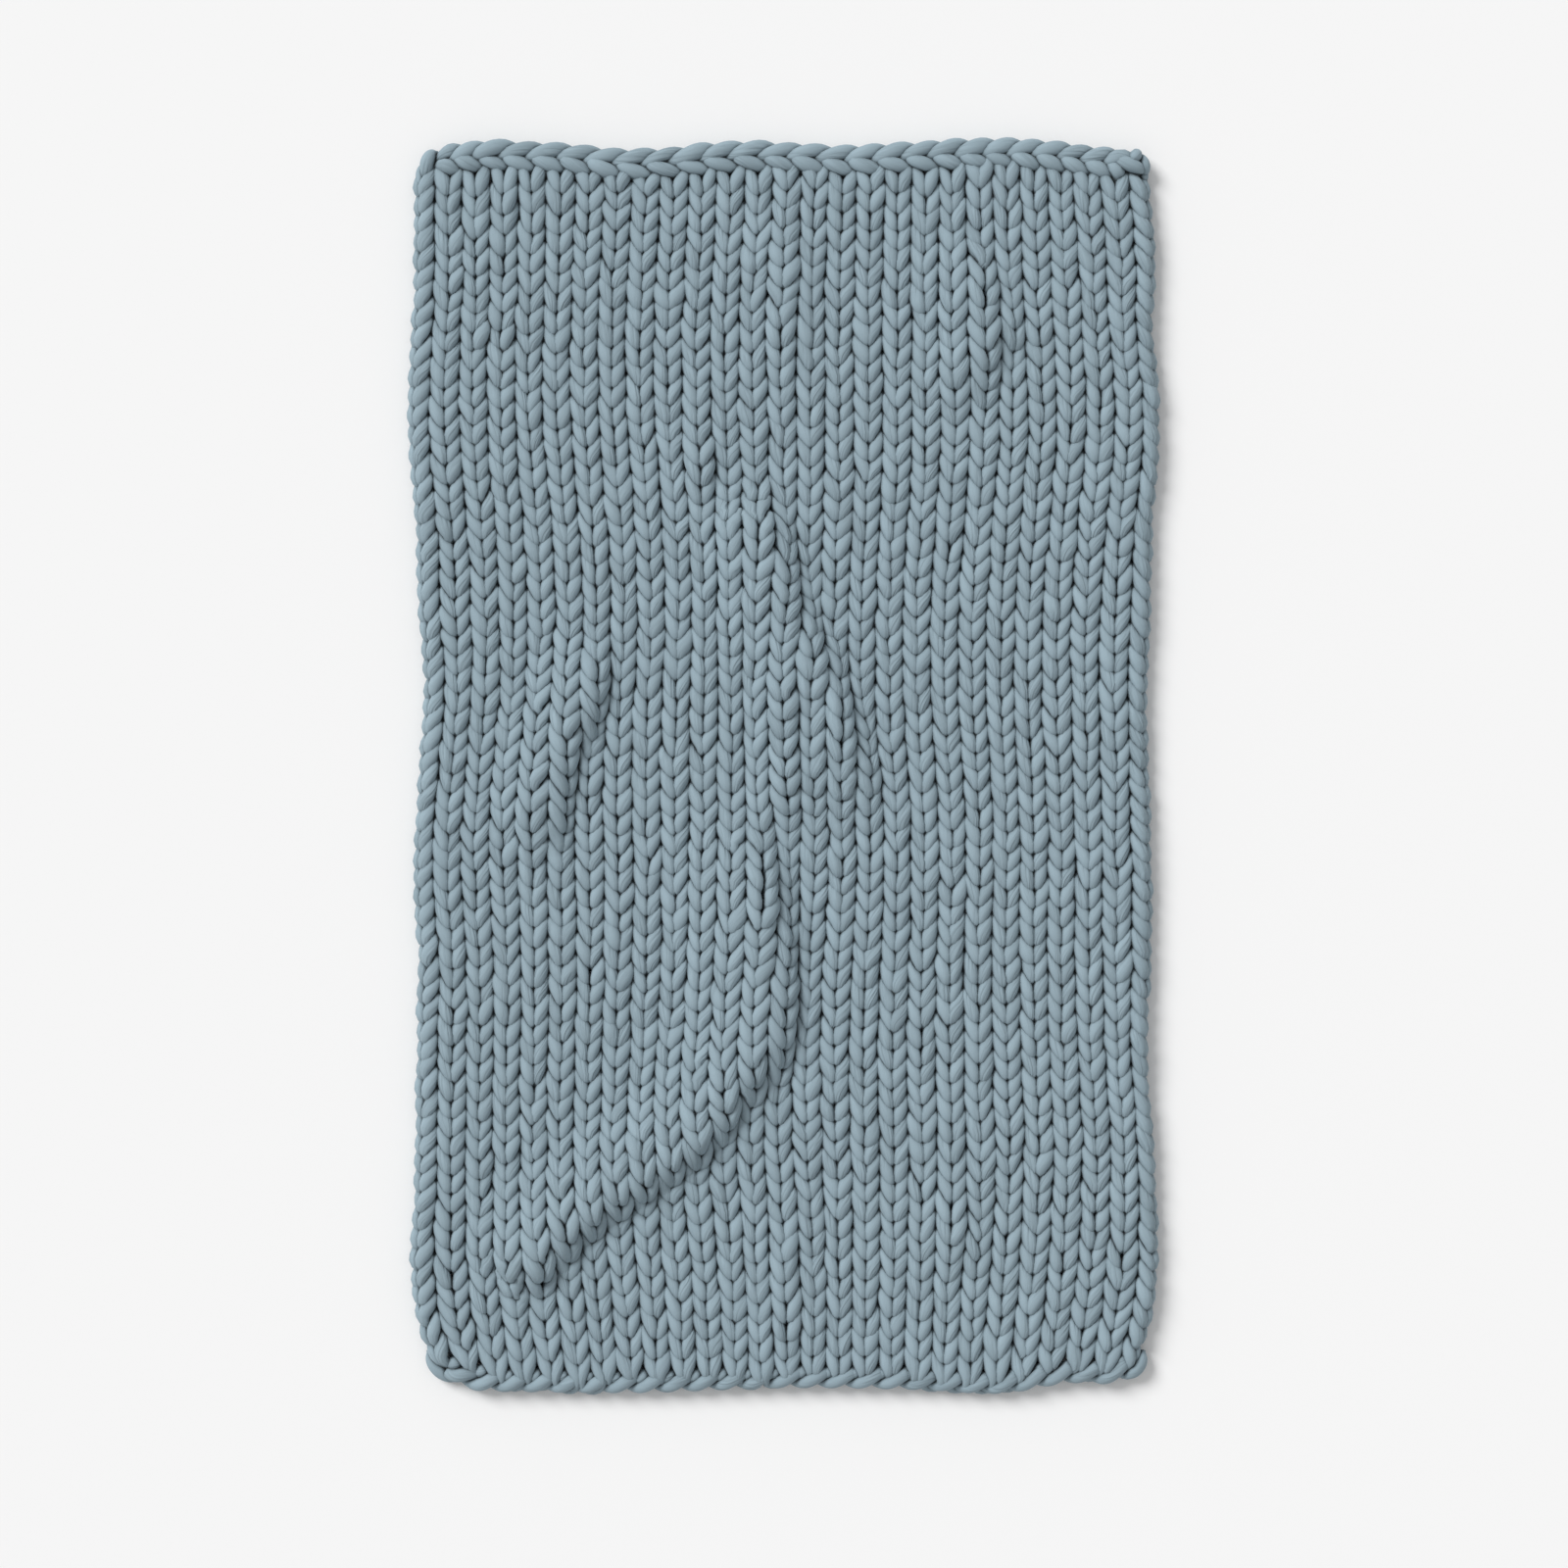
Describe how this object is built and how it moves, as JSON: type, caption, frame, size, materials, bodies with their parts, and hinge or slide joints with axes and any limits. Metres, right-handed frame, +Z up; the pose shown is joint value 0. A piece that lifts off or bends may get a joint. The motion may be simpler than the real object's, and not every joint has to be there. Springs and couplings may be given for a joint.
{
  "type": "weighted blanket",
  "caption": "Chunky hand-knit weighted blanket lying flat with soft folds, chained edge at the top, rolled edge at the foot.",
  "frame": {"origin": "on the floor, under the middle of the blanket as it lies", "axes": "+Z up from the floor, +Y along the length towards the chained bind-off edge, +X to the right seen from above with that edge at the top"},
  "size_m": [1.0578, 1.7668, 0.0647],
  "materials": {
    "jersey_yarn": "matte dusty-blue cotton jersey, finely wrinkled"
  },
  "bodies": {
    "root": {"knit_blanket": "jersey_yarn"}
  },
  "joints": []
}
